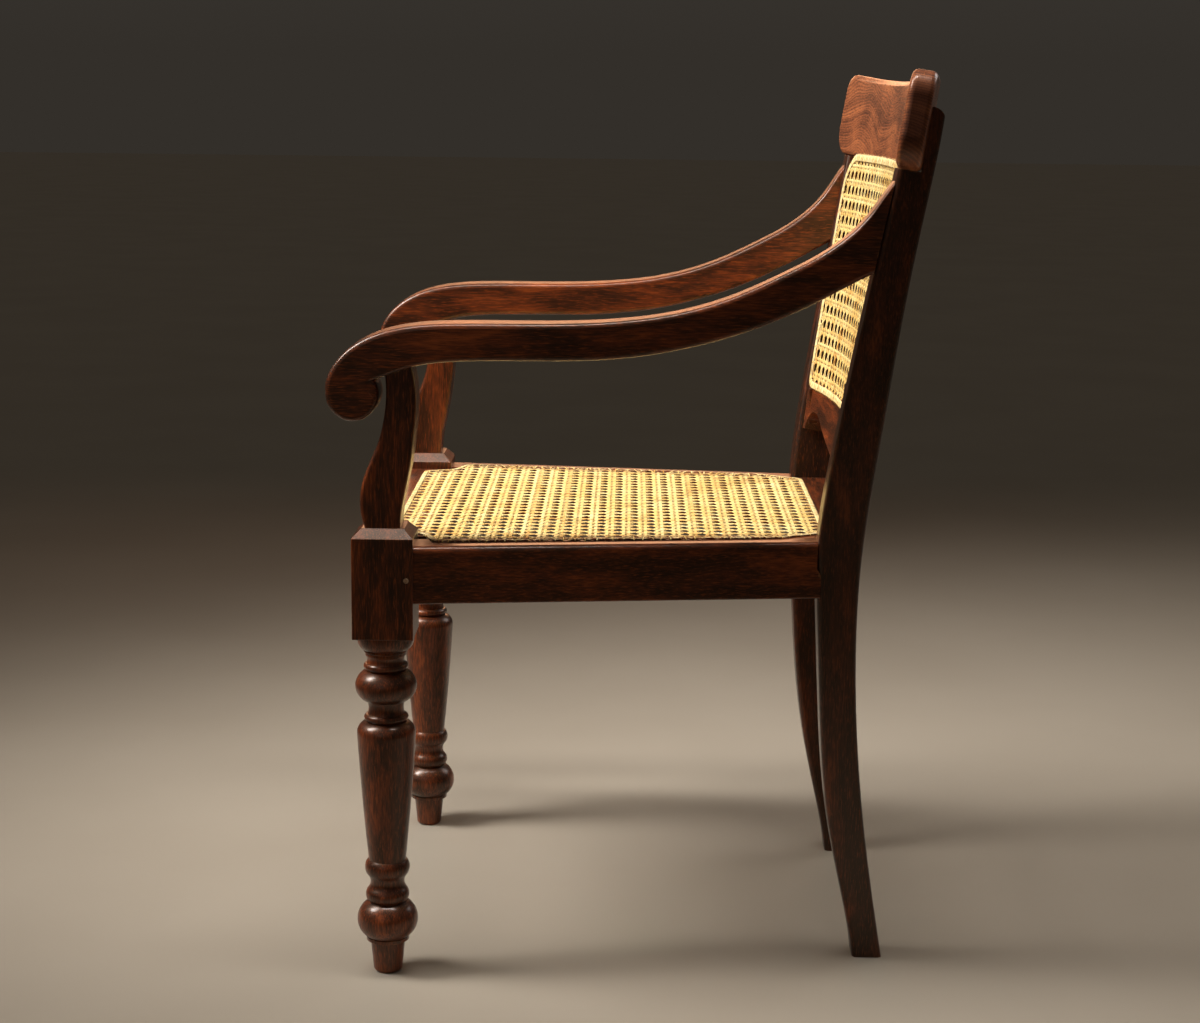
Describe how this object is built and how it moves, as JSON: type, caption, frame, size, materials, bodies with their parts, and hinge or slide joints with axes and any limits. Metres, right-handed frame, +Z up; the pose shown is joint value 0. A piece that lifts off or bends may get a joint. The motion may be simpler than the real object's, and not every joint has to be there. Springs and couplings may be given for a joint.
{
  "type": "colonial armchair",
  "caption": "Upright open armchair in dark polished hardwood, with turned front legs, scrolled arms, sabre back legs, a bowed crest tablet and a caned seat and back.",
  "frame": {"origin": "on the floor under the centre of the chair's box", "axes": "+X to the sitter's left, -Y the way the chair faces, +Z up"},
  "size_m": [0.584, 0.5896, 0.8896],
  "materials": {
    "dark_hardwood": "french polished",
    "peg_wood": "satin",
    "cane": "satin",
    "cane_binder": "satin"
  },
  "bodies": {
    "root": {"left_front_leg": "dark_hardwood", "right_front_leg": "dark_hardwood", "left_back_leg": "dark_hardwood", "right_back_leg": "dark_hardwood", "left_arm": "dark_hardwood", "right_arm": "dark_hardwood", "left_arm_support": "dark_hardwood", "right_arm_support": "dark_hardwood", "left_side_seat_rail": "dark_hardwood", "right_side_seat_rail": "dark_hardwood", "front_seat_rail": "dark_hardwood", "rear_seat_rail": "dark_hardwood", "crest_tablet": "dark_hardwood", "lower_back_rail": "dark_hardwood", "tenon_pegs": "peg_wood", "support_foot_dowels": "peg_wood", "support_head_dowels": "peg_wood", "arm_tail_dowels": "peg_wood", "crest_dowels": "peg_wood", "seat_cane": "cane", "back_cane": "cane", "seat_cane_binder": "cane_binder", "back_cane_binder": "cane_binder"}
  },
  "joints": []
}
